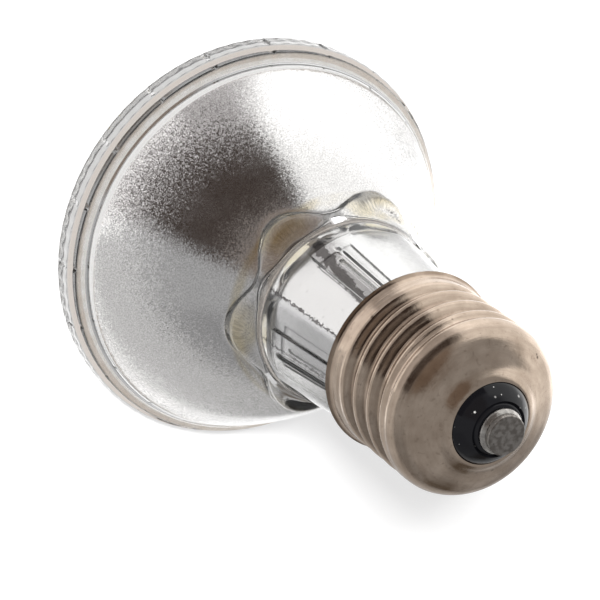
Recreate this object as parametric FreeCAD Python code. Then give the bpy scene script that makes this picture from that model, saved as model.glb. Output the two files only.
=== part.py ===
import FreeCAD, Part
import math
import os

# A reflector lamp with a screw cap, standing on its lens with the cap on top.
# Origin: the middle of the flat land on the lens rim. +Z runs along the lamp's axis to the cap.
# -Y is the side that the eye sees first. All sizes are in millimetres and degrees.

# Front lens of pressed glass
lens_overhang = 0.8
lens_edge_height = 3.4
lens_plate_thickness = 2.2
lens_recess = 0.8
lens_land_width = 3.0
lens_corner = 0.5
lens_spigot_height = 0.8
lens_spigot_wall = 1.2
lenslet_pitch = 4.6
lenslet_radius = 2.2
lenslet_height = 0.5

# Glass reflector, its rim and its collar
seal_thickness = 0.25
rim_radius = 31.2
rim_height = 1.3
rim_corner = 0.25
rim_ledge = 2.74
mirror_focal_length = 6.87
glass_wall = 1.8
spigot_clearance = 0.2
shoulder_length = 2.6
collar_radius = 16.2
collar_wave = 1.2
collar_waves = 6
collar_angle = -42.6
collar_height = 2.0
collar_edge = 0.8

# Notches that the mould leaves round the rim
notch_count = 20
notch_angle = -50.6
notch_width = 0.55
notch_depth = 0.35

# Neck
neck_base_radius = 14.3
neck_taper = 0.117
neck_length = 27.2
neck_wall = 1.9
neck_end_wall = 1.5
pad_height = 0.7
pad_width_angle = 29.0
pad_side_angle = 2.4
pad_groove_angle = 4.0
pad_groove_depth = 0.4
pad_spread = 76.5
pad_pair_angle = -78.3
pad_start = 4.9
pad_overlap = 2.9
pad_corner = 0.45

# Screw cap of rolled sheet
cap_grip = 7.054949
cap_wall = 0.3
cap_lip_radius = 13.65
cap_lip_length = 1.1
thread_crest_radius = 13.1
thread_depth = 0.95
thread_pitch = 3.629
thread_start = 4.8
thread_turns = 3
cap_straight_length = 15.4
shoulder_radius = 4.2
shoulder_sweep = 62.0
cap_hole_radius = 6.1
cap_curl_radius = 1.0

# Black glass insulator, centre contact and solder
insulator_depth = 3.4
insulator_cone_height = 2.2
insulator_top_radius = 3.9
insulator_bow = 0.25
contact_radius = 3.4
contact_flange = 1.0
contact_tube_radius = 1.25
contact_bore_radius = 0.8
solder_radius = 2.95
solder_height = 0.9
solder_corner = 0.5

# Cement between neck and cap
cement_depth = 4.4
cement_inset = 0.7

# Light source in the throat
emitter_radius = 3.8
emitter_thickness = 0.4
led_board_radius = 11.2
led_board_thickness = 1.0
spreader_thickness = 2.0
spreader_wall = 1.2
spreader_skirt = 6.0
optic_radius = 5.0
optic_wall = 0.9
optic_flange_radius = 6.1
optic_flange_thickness = 0.7
holder_radius = 6.9
holder_thickness = 1.7
holder_ear_radius = 2.3
screw_circle_radius = 8.0
screw_radius = 1.0
screw_head_radius = 1.8
screw_head_height = 1.2
screw_bite = 1.6
screw_slot_width = 0.45
screw_slot_depth = 0.5

# Driver in its sleeve
sleeve_radius = 9.4
sleeve_wall = 0.8
sleeve_length = 31.0
board_thickness = 1.2
board_length = 29.5
board_gap = 3.2
bulk_capacitor_radius = 3.2
bulk_capacitor_length = 11.0
bulk_capacitor_place = 23.5
filter_capacitor_size = (9.0, 5.6, 3.4)
filter_capacitor_place = 9.5
fuse_radius = 1.25
fuse_length = 6.4
fuse_place = 14.4
fuse_wire_radius = 0.35
rectifier_size = (4.7, 2.4, 3.9)
rectifier_place = 24.0
chip_size = (4.9, 1.5, 3.9)
chip_place = 6.0
core_radius = 3.5
core_height = 6.0
core_cheek = 1.0
core_waist_radius = 1.8
core_place = 14.8
winding_radius = 3.1

# Wires
wire_radius = 0.45
led_wire_offset = 7.7
led_wire_overlap = 3.5
bare_wire_radius = 0.4
shell_wire_overlap = 2.2
contact_wire_overlap = 2.0

# Clearances
fit = 0.05
seat = 0.1
running = 0.25

V = FreeCAD.Vector
UP = V(0, 0, 1)


# Radii and heights worked out from the sizes above
lens_radius = rim_radius + lens_overhang
mouth_radius = rim_radius - rim_ledge
seal_base = lens_edge_height
rim_base = seal_base + seal_thickness
rim_top = rim_base + rim_height
mirror_mouth = rim_top
mirror_apex = mirror_mouth + mouth_radius ** 2 / (4 * mirror_focal_length)
focus_height = mirror_apex - mirror_focal_length


def mirror_radius(height):
    """Radius of the mirrored inside of the reflector, a paraboloid about the light source."""
    return math.sqrt(4 * mirror_focal_length * (mirror_apex - height))


def mirror_slope(height):
    """How fast the paraboloid narrows for each millimetre of height."""
    return 2 * mirror_focal_length / mirror_radius(height)


def glass_point(height, wall):
    """A point of the reflector's wall, measured square to the paraboloid."""
    slope = mirror_slope(height)
    size = math.hypot(1, slope)
    return mirror_radius(height) + wall / size, height + wall * slope / size


throat_height = focus_height + led_board_thickness
neck_base = throat_height + glass_wall
neck_top = neck_base + neck_length
cap_rim_height = neck_top - cap_grip
thread_root_height = cap_rim_height + thread_start


def neck_radius(height):
    """Outer radius of the tapered neck."""
    return neck_base_radius - neck_taper * (height - neck_base)


def neck_bore(height):
    """Inner radius of the neck, whose wall thins towards the cap."""
    share = (height - neck_base) / neck_length
    return neck_radius(height) - neck_wall + (neck_wall - neck_end_wall) * share


def at(radius, height):
    """A point of a half section, right of the axis."""
    return V(radius, 0, height)


def around(radius, angle, height):
    """A point at an angle round the axis, in degrees from +X."""
    turn = math.radians(angle)
    return V(radius * math.cos(turn), radius * math.sin(turn), height)


def swing(middle, radius, angle):
    """A half section point on an arc round a middle, by its angle from the outward direction."""
    turn = math.radians(angle)
    return middle[0] + radius * math.cos(turn), middle[1] + radius * math.sin(turn)


def path(start, *moves):
    """Edges in a row. A move is the next corner, an arc's middle and end, or a ready edge."""
    edges = []
    here = at(*start)
    for move in moves:
        if isinstance(move, Part.Edge):
            edges.append(move)
            here = move.Vertexes[-1].Point
            continue
        there = at(*move[-2:])
        if len(move) == 2:
            edges.append(Part.makeLine(here, there))
        else:
            edges.append(Part.Arc(here, at(*move[:2]), there).toShape())
        here = there
    return edges


def turned(start, *moves):
    """A solid turned about the axis from its closed half section."""
    edges = path(start, *moves)
    edges.append(Part.makeLine(edges[-1].Vertexes[-1].Point, at(*start)))
    return Part.Face(Part.Wire(edges)).revolve(V(0, 0, 0), UP, 360)


def smooth(points):
    """One smooth edge through half section points."""
    curve = Part.BSplineCurve()
    curve.interpolate([at(*point) for point in points])
    return curve.toShape()


def disc(radius, base, height):
    """A plain round slab on the axis."""
    return Part.makeCylinder(radius, height, V(0, 0, base))


def box(size, middle):
    """A block by its size and its middle."""
    corner = V(middle[0] - size[0] / 2, middle[1] - size[1] / 2, middle[2] - size[2] / 2)
    return Part.makeBox(size[0], size[1], size[2], corner)


def wire_along(points, radius, bend):
    """A round wire through points, with an arc at each corner, and its solid."""
    edges = []
    here = points[0]
    for index in range(1, len(points) - 1):
        corner = points[index]
        back = (here - corner).normalize()
        ahead = (points[index + 1] - corner).normalize()
        half = ahead.getAngle(back) / 2
        reach = bend / math.tan(half)
        first = corner + back * reach
        last = corner + ahead * reach
        middle = corner + (back + ahead).normalize() * (bend / math.sin(half) - bend)
        edges.append(Part.makeLine(here, first))
        edges.append(Part.Arc(first, middle, last).toShape())
        here = last
    edges.append(Part.makeLine(here, points[-1]))
    path = Part.Wire(edges)
    along = points[1] - points[0]
    section = Part.Wire(Part.makeCircle(radius, points[0], along))
    return path.makePipeShell([section], True, False)


def notches(base, top, outer):
    """Cutters for the marks round a rim, from a base to a top height."""
    cutters = []
    for index in range(notch_count):
        angle = notch_angle + index * 360.0 / notch_count
        cutter = box((2 * notch_depth, notch_width, top - base), (outer, 0, (base + top) / 2))
        cutter.rotate(V(0, 0, 0), UP, angle)
        cutters.append(cutter)
    return Part.makeCompound(cutters)


def front_lens():
    """Pressed lens: an edge to stand on, a recessed plate and small lenses on its inner face."""
    plate_top = lens_recess + lens_plate_thickness
    land_inner = lens_radius - lens_land_width
    spigot_outer = mouth_radius - spigot_clearance
    spigot_inner = spigot_outer - lens_spigot_wall
    spigot_top = lens_edge_height + lens_spigot_height
    plate_reach = spigot_inner - (spigot_top - plate_top)
    round_in = lens_corner * (1 - math.sqrt(0.5))
    body = turned(
        (0, lens_recess),
        (land_inner - lens_recess, lens_recess),
        (land_inner, 0),
        (lens_radius - lens_corner, 0),
        (lens_radius - round_in, round_in, lens_radius, lens_corner),
        (lens_radius, lens_edge_height - lens_corner),
        (lens_radius - round_in, lens_edge_height - round_in, lens_radius - lens_corner, lens_edge_height),
        (spigot_outer, lens_edge_height),
        (spigot_outer, spigot_top),
        (spigot_inner, spigot_top),
        (plate_reach, plate_top),
        (0, plate_top),
    )
    body = body.cut(notches(lens_corner, lens_edge_height - lens_corner, lens_radius))
    bump_sphere = (lenslet_radius ** 2 + lenslet_height ** 2) / (2 * lenslet_height)
    root = lens_plate_thickness / 4
    lean = math.radians(22.5)
    mid_radius = lenslet_radius * math.sin(lean)
    mid_height = plate_top + lenslet_height - bump_sphere + math.sqrt(bump_sphere ** 2 - mid_radius ** 2)
    bump = turned(
        (0, plate_top - root),
        (lenslet_radius, plate_top - root),
        (lenslet_radius, plate_top),
        (mid_radius, mid_height, 0, plate_top + lenslet_height),
    )
    bumps = []
    lenslet_rings = int((plate_reach - lenslet_radius) / lenslet_pitch)
    for column in range(-lenslet_rings, lenslet_rings + 1):
        for row in range(-lenslet_rings, lenslet_rings + 1):
            if abs(column + row) > lenslet_rings:
                continue
            across = lenslet_pitch * (column + row / 2)
            along = lenslet_pitch * row * math.sqrt(0.75)
            bumps.append(bump.translated(V(across, along, 0)))
    return body.fuse(Part.makeCompound(bumps))


def lens_seal():
    """Clear cement between the lens and the reflector's rim."""
    inner = mouth_radius - spigot_clearance + fit
    outer = rim_radius - rim_corner
    return turned((inner, seal_base), (outer, seal_base), (outer, rim_base), (inner, rim_base))


def wall_edge(wall, low, high, count):
    """A smooth edge of the reflector's wall between two heights of the paraboloid."""
    points = []
    for index in range(count + 1):
        points.append(glass_point(low + (high - low) * index / count, wall))
    return smooth(points)


def scalloped_collar():
    """The wavy bead of clear glass where the cone meets the neck."""
    points = []
    steps = 12 * collar_waves
    for index in range(steps):
        angle = 360.0 * index / steps
        radius = collar_radius + collar_wave * math.cos(math.radians(collar_waves * (angle - collar_angle)))
        points.append(around(radius, angle, 0))
    curve = Part.BSplineCurve()
    curve.interpolate(Points=points, PeriodicFlag=True)
    top = neck_base + collar_height / 2
    base = throat_height - collar_radius / 4
    plate = Part.Face(Part.Wire(curve.toShape())).extrude(V(0, 0, top - base))
    plate.translate(V(0, 0, base))
    edges = [edge for edge in plate.Edges if min(v.Point.z for v in edge.Vertexes) > top - fit]
    return plate.makeFillet(collar_edge, edges)


def pad_section(height):
    """Cross section of a neck pad at a height: two flats with a groove between them."""
    base = neck_radius(height) - pad_height
    top = neck_radius(height) + pad_height
    floor = top - pad_groove_depth
    half = pad_width_angle / 2
    corners = [
        around(base, -half, height),
        around(neck_radius(height), -half, height),
        around(top, -half + pad_side_angle, height),
        around(top, -pad_groove_angle / 2, height),
        around(floor, 0, height),
        around(top, pad_groove_angle / 2, height),
        around(top, half - pad_side_angle, height),
        around(neck_radius(height), half, height),
        around(base, half, height),
    ]
    return Part.makePolygon(corners + corners[:1])


def neck_pads():
    """The pads that centre the neck in the cap, two pairs of them."""
    low = neck_base + pad_start
    high = cap_rim_height + pad_overlap
    pad = Part.makeLoft([pad_section(low), pad_section(high)], True, True)
    start = [edge for edge in pad.Edges if max(v.Point.z for v in edge.Vertexes) < low + fit]
    outer = [edge for edge in start if edge.CenterOfMass.x > neck_radius(low) + pad_height / 2]
    pad = pad.makeFillet(pad_corner, outer)
    pads = []
    for pair in (0, 180):
        for side in (-0.5, 0.5):
            turn = pad_pair_angle + pair + side * pad_spread
            pads.append(pad.rotated(V(0, 0, 0), UP, turn))
    return pads


def reflector_glass():
    """The pressed glass body in one piece: rim, cone, collar and neck."""
    shoulder_end = mirror_mouth + shoulder_length
    throat_outer = glass_point(throat_height, glass_wall)
    cone_start = glass_point(mirror_mouth, glass_wall)
    end_radius = neck_radius(neck_top)
    end_bore = neck_bore(neck_top)
    end_middle = (end_radius + end_bore) / 2
    end_round = (end_radius - end_bore) / 2
    outer = turned(
        (0, rim_base),
        (rim_radius - rim_corner, rim_base),
        (rim_radius, rim_base + rim_corner),
        (rim_radius, rim_top - rim_corner),
        (rim_radius - rim_corner, rim_top),
        cone_start,
        glass_point(shoulder_end, glass_wall),
        wall_edge(glass_wall, shoulder_end, throat_height, 8),
        (neck_radius(throat_outer[1]), throat_outer[1]),
        (end_radius, neck_top - end_round),
        (end_middle, neck_top),
        (0, neck_top),
    )
    outer = outer.fuse([scalloped_collar()] + neck_pads()).removeSplitter()
    throat_bore = neck_bore(neck_base)
    inner = turned(
        (0, rim_base),
        (mouth_radius, rim_base),
        (mouth_radius, mirror_mouth),
        wall_edge(0, mirror_mouth, throat_height, 8),
        (throat_bore, throat_height),
        (throat_bore, neck_base),
        (end_bore, neck_top),
        (0, neck_top),
    )
    body = outer.cut(inner)
    return body.cut(notches(rim_base + rim_corner, rim_top - rim_corner, rim_radius))


# Heights of the cap, and the half section of its skin
cap_root_bore = thread_crest_radius - thread_depth - cap_wall
cap_band_bore = thread_crest_radius - cap_wall
thread_base = thread_root_height - thread_pitch / 2
thread_top = thread_base + thread_turns * thread_pitch
shoulder_base = cap_rim_height + cap_straight_length
shoulder_middle = (thread_crest_radius - shoulder_radius, shoulder_base)
slope_start = swing(shoulder_middle, shoulder_radius, shoulder_sweep)
slope_end_radius = swing((cap_hole_radius, 0), cap_curl_radius, shoulder_sweep)[0]
slope_rise = (slope_start[0] - slope_end_radius) / math.tan(math.radians(shoulder_sweep))
curl_height = slope_start[1] + slope_rise - cap_curl_radius * math.sin(math.radians(shoulder_sweep))
curl_middle = (cap_hole_radius, curl_height)
hole_height = curl_height + cap_curl_radius
insulator_top = hole_height + insulator_cone_height


def cap_side(inset):
    """The cap's skin from lip to hole, in true arcs, set in by part of the wall."""
    flare = cap_lip_radius - thread_crest_radius
    lip_arc = (flare ** 2 + cap_lip_length ** 2) / (2 * flare)
    lip_middle = (thread_crest_radius + lip_arc, cap_rim_height + cap_lip_length)
    lip_sweep = math.degrees(math.asin(cap_lip_length / lip_arc))
    lip = lip_arc + inset
    moves = [swing(lip_middle, lip, 180 + lip_sweep)]
    moves.append(swing(lip_middle, lip, 180 + lip_sweep / 2) + swing(lip_middle, lip, 180))
    moves.append((thread_crest_radius - inset, thread_base))
    thread_arc = (thread_depth ** 2 + (thread_pitch / 2) ** 2) / (4 * thread_depth)
    lean = math.degrees(math.asin(thread_pitch / 4 / thread_arc))
    crest = thread_arc - inset
    root = thread_arc + inset
    for turn in range(thread_turns):
        height = thread_root_height + turn * thread_pitch
        low = (thread_crest_radius - thread_arc, height - thread_pitch / 2)
        middle = (thread_crest_radius - thread_depth + thread_arc, height)
        high = (thread_crest_radius - thread_arc, height + thread_pitch / 2)
        moves.append(swing(low, crest, lean / 2) + swing(low, crest, lean))
        moves.append(swing(middle, root, 180) + swing(middle, root, 180 - lean))
        moves.append(swing(high, crest, -lean / 2) + swing(high, crest, 0))
    moves.append((thread_crest_radius - inset, shoulder_base))
    shoulder = shoulder_radius - inset
    curl = cap_curl_radius - inset
    half_way = (shoulder_sweep + 90) / 2
    moves.append(
        swing(shoulder_middle, shoulder, shoulder_sweep / 2)
        + swing(shoulder_middle, shoulder, shoulder_sweep)
    )
    moves.append(swing(curl_middle, curl, shoulder_sweep))
    moves.append(swing(curl_middle, curl, half_way) + swing(curl_middle, curl, 90))
    return moves


def cap_shell():
    """The screw cap, one rolled sheet with a flared lip, a thread, a shoulder and a curled hole."""
    outer = path(*cap_side(0))
    inner = path(*cap_side(cap_wall))
    hole_edge = Part.makeLine(outer[-1].Vertexes[-1].Point, inner[-1].Vertexes[-1].Point)
    lip_edge = Part.makeLine(inner[0].Vertexes[0].Point, outer[0].Vertexes[0].Point)
    section = Part.Wire(outer + [hole_edge] + inner[::-1] + [lip_edge])
    return Part.Face(section).revolve(V(0, 0, 0), UP, 360)


def cap_insulator():
    """Black glass moulded into the cap's end, with a cone that carries the contact."""
    gap = cap_wall + fit
    shoulder = shoulder_radius - gap
    curl = cap_curl_radius - gap
    low = hole_height - insulator_depth
    lift = math.degrees(math.asin(max(low - shoulder_base, 0.0) / shoulder))
    half_shoulder = (lift + shoulder_sweep) / 2
    half_curl = (shoulder_sweep + 90) / 2
    throat = cap_hole_radius - fit
    bow = ((throat + insulator_top_radius) / 2 + insulator_bow, (hole_height + insulator_top) / 2)
    bore = contact_tube_radius + fit
    return turned(
        (bore, low),
        swing(shoulder_middle, shoulder, lift),
        swing(shoulder_middle, shoulder, half_shoulder) + swing(shoulder_middle, shoulder, shoulder_sweep),
        swing(curl_middle, curl, shoulder_sweep),
        swing(curl_middle, curl, half_curl) + swing(curl_middle, curl, 90),
        (throat, hole_height - gap),
        (throat, hole_height),
        bow + (insulator_top_radius, insulator_top),
        (bore, insulator_top),
    )


def centre_contact():
    """The hollow contact rivet whose flange sits on the insulator."""
    low = hole_height - insulator_depth
    top = insulator_top + fit + contact_flange
    edge = contact_flange / 2
    return turned(
        (contact_bore_radius, low),
        (contact_tube_radius, low),
        (contact_tube_radius, insulator_top + fit),
        (contact_radius - edge * 0.3, insulator_top + fit),
        (contact_radius, insulator_top + fit + edge, contact_radius - edge * 0.5, top),
        (contact_bore_radius, top),
    )


def contact_solder():
    """The solder button on the contact."""
    base = insulator_top + fit + contact_flange
    top = base + solder_height
    inset = solder_corner * (1 - math.sqrt(0.5))
    return turned(
        (0, base),
        (solder_radius, base),
        (solder_radius, top - solder_corner),
        (solder_radius - inset, top - inset, solder_radius - solder_corner, top),
        (0, top),
    )


def cap_cement(neck):
    """Cement between the neck and the cap's plain band."""
    low = cap_rim_height + cement_inset
    high = low + cement_depth
    band = cap_band_bore - fit
    root = cap_root_bore - fit
    step = thread_base - seat
    ring = turned(
        (neck_radius(low) - neck_end_wall / 2, low),
        (band, low),
        (band, step - (band - root)),
        (root, step),
        (root, high),
        (neck_radius(high) - neck_end_wall / 2, high),
    )
    return ring.cut(neck)


# Stack of the light source, from the focus of the mirror towards the cap
emitter_front = focus_height - emitter_thickness / 2
led_board_front = emitter_front + emitter_thickness
spreader_front = led_board_front + led_board_thickness
spreader_back = spreader_front + spreader_thickness
holder_front = led_board_front - holder_thickness


def led_board():
    """Round metal-core board with holes for two screws and two wires."""
    board = disc(led_board_radius, led_board_front, led_board_thickness)
    for side in (-1, 1):
        screw_place = V(0, side * screw_circle_radius, led_board_front)
        wire_place = V(side * led_wire_offset, 0, led_board_front)
        screw_hole = Part.makeCylinder(screw_radius + running, led_board_thickness, screw_place)
        wire_hole = Part.makeCylinder(wire_radius + running, led_board_thickness, wire_place)
        board = board.cut([screw_hole, wire_hole])
    return board


def led_emitter():
    """The round light-emitting patch."""
    return disc(emitter_radius, emitter_front, emitter_thickness)


def led_optic():
    """Clear dome over the emitter, with a flange under the holder."""
    flange_front = led_board_front - optic_flange_thickness
    hollow = optic_radius - optic_wall
    return turned(
        (hollow, led_board_front),
        (optic_flange_radius, led_board_front),
        (optic_flange_radius, flange_front),
        (optic_radius, flange_front),
        swing((0, flange_front), optic_radius, -45) + (0, flange_front - optic_radius),
        (0, flange_front - hollow),
        swing((0, flange_front), hollow, -45) + (hollow, flange_front),
    )


def led_holder():
    """White ring with two ears that clamps the optic and the board."""
    ring = disc(holder_radius, holder_front, holder_thickness)
    for side in (-1, 1):
        place = V(0, side * screw_circle_radius, holder_front)
        ring = ring.fuse(Part.makeCylinder(holder_ear_radius, holder_thickness, place))
    ring = ring.removeSplitter()
    pocket_height = optic_flange_thickness + fit
    pocket = disc(optic_flange_radius + seat, led_board_front - pocket_height, pocket_height)
    mouth_small = optic_radius + seat
    mouth_wide = mouth_small + holder_thickness / 2
    mouth_height = holder_thickness - pocket_height
    mouth = Part.makeCone(mouth_wide, mouth_small, mouth_height, V(0, 0, holder_front))
    ring = ring.cut([pocket, mouth])
    for side in (-1, 1):
        place = V(0, side * screw_circle_radius, holder_front)
        ring = ring.cut(Part.makeCylinder(screw_radius + running, holder_thickness, place))
    return ring


def led_screws():
    """Two slotted screws through holder and board into the spreader."""
    screws = []
    length = holder_thickness + led_board_thickness + screw_bite
    for side in (-1, 1):
        place = V(0, side * screw_circle_radius, holder_front)
        shank = Part.makeCylinder(screw_radius, length, place)
        head = Part.makeCylinder(screw_head_radius, screw_head_height, place, V(0, 0, -1))
        rim = [edge for edge in head.Edges if edge.CenterOfMass.z < holder_front - screw_head_height / 2]
        rim = [edge for edge in rim if edge.Length > screw_head_height * 2]
        head = head.makeFillet(screw_head_height / 3, rim)
        slot_size = (2 * screw_head_radius, screw_slot_width, screw_slot_depth)
        slot_height = holder_front - screw_head_height + screw_slot_depth / 2
        slot = box(slot_size, (0, side * screw_circle_radius, slot_height))
        screws.append(head.cut(slot).fuse(shank))
    return Part.makeCompound(screws)


def heat_spreader():
    """Aluminium cup pressed into the neck behind the light source."""
    reach = neck_bore(neck_base) - seat
    skirt_top = spreader_back + spreader_skirt
    skirt_reach = neck_bore(skirt_top) - seat
    cup = turned(
        (0, spreader_front),
        (reach, spreader_front),
        (reach, neck_base),
        (skirt_reach, skirt_top),
        (skirt_reach - spreader_wall, skirt_top),
        (neck_bore(spreader_back) - seat - spreader_wall, spreader_back),
        (0, spreader_back),
    )
    for side in (-1, 1):
        screw_place = V(0, side * screw_circle_radius, spreader_front)
        wire_place = V(side * led_wire_offset, 0, spreader_front)
        screw_hole = Part.makeCylinder(screw_radius + fit, spreader_thickness, screw_place)
        wire_hole = Part.makeCylinder(wire_radius + running, spreader_thickness, wire_place)
        cup = cup.cut([screw_hole, wire_hole])
    return cup


sleeve_base = spreader_back + seat
sleeve_top = sleeve_base + sleeve_length
sleeve_bore = sleeve_radius - sleeve_wall
board_base = sleeve_base + board_gap
board_top = board_base + board_length
board_half_width = math.sqrt((sleeve_bore - running) ** 2 - (board_thickness / 2) ** 2)


def driver_sleeve():
    """Plastic tube that keeps the driver off the neck and the cap, open above the cap's wire."""
    tube = turned(
        (sleeve_bore, sleeve_base),
        (sleeve_radius, sleeve_base),
        (sleeve_radius, sleeve_top),
        (sleeve_bore, sleeve_top),
    )
    room = bare_wire_radius + running
    slot_base = shell_wire_height() - room
    slot_size = (sleeve_radius, 2 * room, sleeve_length)
    return tube.cut(box(slot_size, (-sleeve_radius, shell_wire_lift(), slot_base + sleeve_length / 2)))


def driver_board():
    """The driver's circuit board, upright in the sleeve."""
    return box((2 * board_half_width, board_thickness, board_length), (0, 0, board_base + board_length / 2))


def on_board(side, depth):
    """Middle height off the board's mid plane for a part of some depth, on its front or back."""
    return side * (board_thickness / 2 + depth / 2)


def bulk_capacitor():
    """Round capacitor lying on the board's front, with a beaded end."""
    middle = V(0, -board_thickness / 2 - bulk_capacitor_radius, board_base + bulk_capacitor_place)
    base = middle - V(0, 0, bulk_capacitor_length / 2)
    can = Part.makeCylinder(bulk_capacitor_radius, bulk_capacitor_length, base)
    bead = bulk_capacitor_radius / 8
    bead_place = base + V(0, 0, bulk_capacitor_length / 8)
    groove = Part.makeTorus(bulk_capacitor_radius + bead / 2, bead, bead_place)
    return can.cut(groove)


def filter_capacitor():
    """Film capacitor on the board's front."""
    wide, deep, tall = filter_capacitor_size
    block = box((wide, deep, tall), (0, on_board(-1, deep), board_base + filter_capacitor_place))
    upright = [edge for edge in block.Edges if abs(edge.BoundBox.YLength - deep) < fit]
    return block.makeFillet(tall / 5, upright)


def fuse_resistor():
    """Fusible resistor lying across the board's front, on its two wires."""
    lift = -board_thickness / 2 - fuse_radius - fuse_wire_radius
    height = board_base + fuse_place
    body = Part.makeCylinder(fuse_radius, fuse_length, V(-fuse_length / 2, lift, height), V(1, 0, 0))
    reach = fuse_length / 2 + 2 * fuse_wire_radius
    corner = 2 * fuse_wire_radius
    path = [V(-reach - corner, -board_thickness / 2, height), V(-reach - corner, lift, height)]
    path = path + [V(reach + corner, lift, height), V(reach + corner, -board_thickness / 2, height)]
    return body.fuse(wire_along(path, fuse_wire_radius, corner))


def board_block(size, place):
    """A small moulded package on the board's back."""
    wide, deep, tall = size
    block = box(size, (0, on_board(1, deep), board_base + place))
    face = board_thickness / 2 + deep
    rim = [edge for edge in block.Edges if edge.BoundBox.YMin > face - fit]
    return block.makeFillet(deep / 6, rim)


def inductor_core():
    """Ferrite drum standing on the board's back."""
    start = V(0, board_thickness / 2, board_base + core_place)
    out = V(0, 1, 0)
    waist = Part.makeCylinder(core_waist_radius, core_height, start, out)
    low = Part.makeCylinder(core_radius, core_cheek, start, out)
    high = Part.makeCylinder(core_radius, core_cheek, start + out * (core_height - core_cheek), out)
    return waist.fuse([low, high]).removeSplitter()


def inductor_winding():
    """Copper winding between the drum's cheeks."""
    out = V(0, 1, 0)
    start = V(0, board_thickness / 2, board_base + core_place) + out * (core_cheek + fit)
    depth = core_height - 2 * (core_cheek + fit)
    turns = Part.makeCylinder(winding_radius, depth, start, out)
    return turns.cut(Part.makeCylinder(core_waist_radius + fit, depth, start, out))


def led_lead(side):
    """Insulated wire from the driver board through the spreader to the front of the light board."""
    start = V(side * led_wire_offset, 0, led_board_front - wire_radius)
    bend = 3 * wire_radius
    lift = -board_thickness / 2 - wire_radius - fit
    turn_low = spreader_back + wire_radius
    turn_high = board_base - wire_radius
    points = [start, V(side * led_wire_offset, 0, turn_low)]
    inset = side * (led_wire_offset - 2 * wire_radius)
    points = points + [V(inset, lift, turn_high), V(inset, lift, board_base + led_wire_overlap)]
    return wire_along(points, wire_radius, bend / 3)


def shell_wire_lift():
    """How far the wire to the cap stands off the board's mid plane."""
    return board_thickness / 2 + bare_wire_radius + fit


def shell_wire_height():
    """Height of the wire that crosses to the cap's wall above the thread."""
    return board_top + 3 * bare_wire_radius


def shell_lead():
    """Bare wire from the board's top over the sleeve to the inside of the cap."""
    lift = shell_wire_lift()
    reach = cap_band_bore - bare_wire_radius - fit
    side = -board_half_width + 3 * bare_wire_radius
    height = shell_wire_height()
    start = V(side, lift, board_top - shell_wire_overlap)
    points = [start, V(side, lift, height), V(-reach, lift, height)]
    return wire_along(points, bare_wire_radius, 2 * bare_wire_radius)


def shell_solder():
    """Solder that joins the wire to the cap's inner wall."""
    lift = shell_wire_lift()
    drop = Part.makeSphere(3 * bare_wire_radius, V(-cap_band_bore, lift, shell_wire_height()))
    room = disc(cap_band_bore - fit, thread_top, shoulder_base - thread_top)
    return drop.common(room).cut(shell_lead())


def contact_lead():
    """Bare wire from the board's top up the middle into the contact."""
    lift = board_thickness / 2 + bare_wire_radius + fit
    start = V(0, lift, board_top - contact_wire_overlap)
    low = board_top + 3 * bare_wire_radius
    high = hole_height - insulator_depth - 3 * bare_wire_radius
    end = insulator_top + fit + contact_flange - fit
    points = [start, V(0, lift, low), V(0, 0, high), V(0, 0, end)]
    return wire_along(points, bare_wire_radius, bare_wire_radius)


neck = reflector_glass()
pieces = {
    "front_lens": front_lens(),
    "lens_seal": lens_seal(),
    "reflector_glass": neck,
    "cap_cement": cap_cement(neck),
    "cap_shell": cap_shell(),
    "cap_insulator": cap_insulator(),
    "centre_contact": centre_contact(),
    "contact_solder": contact_solder(),
    "heat_spreader": heat_spreader(),
    "led_board": led_board(),
    "led_emitter": led_emitter(),
    "led_optic": led_optic(),
    "led_holder": led_holder(),
    "led_screws": led_screws(),
    "driver_sleeve": driver_sleeve(),
    "driver_board": driver_board(),
    "bulk_capacitor": bulk_capacitor(),
    "filter_capacitor": filter_capacitor(),
    "fuse_resistor": fuse_resistor(),
    "bridge_rectifier": board_block(rectifier_size, rectifier_place),
    "driver_chip": board_block(chip_size, chip_place),
    "inductor_core": inductor_core(),
    "inductor_winding": inductor_winding(),
    "led_lead_plus": led_lead(1),
    "led_lead_minus": led_lead(-1),
    "shell_lead": shell_lead(),
    "shell_solder": shell_solder(),
    "contact_lead": contact_lead(),
}

os.makedirs("parts", exist_ok=True)
for name, shape in pieces.items():
    shape.exportStep("parts/" + name + ".step")
    print(name, shape.isValid(), len(shape.Solids), round(shape.Volume, 2))
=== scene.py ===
import math

import bmesh
import bpy
import numpy as np
from mathutils import Matrix, Vector


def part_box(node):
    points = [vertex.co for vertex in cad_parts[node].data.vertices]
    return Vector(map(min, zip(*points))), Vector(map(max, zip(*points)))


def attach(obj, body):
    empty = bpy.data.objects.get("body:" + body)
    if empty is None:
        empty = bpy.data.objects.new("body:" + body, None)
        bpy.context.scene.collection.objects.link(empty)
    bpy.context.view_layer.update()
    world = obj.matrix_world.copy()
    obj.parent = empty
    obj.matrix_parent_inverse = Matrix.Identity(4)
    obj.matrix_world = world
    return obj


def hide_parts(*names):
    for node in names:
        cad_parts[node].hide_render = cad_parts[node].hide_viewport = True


# A reflector lamp of pressed glass with a screw cap, standing on its lens. Sizes below are in millimetres
# and angles in degrees, unless a name or a comment says otherwise.
MM = 0.001
TURN = 2 * math.pi
DEGREE = math.degrees(1.0)

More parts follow.
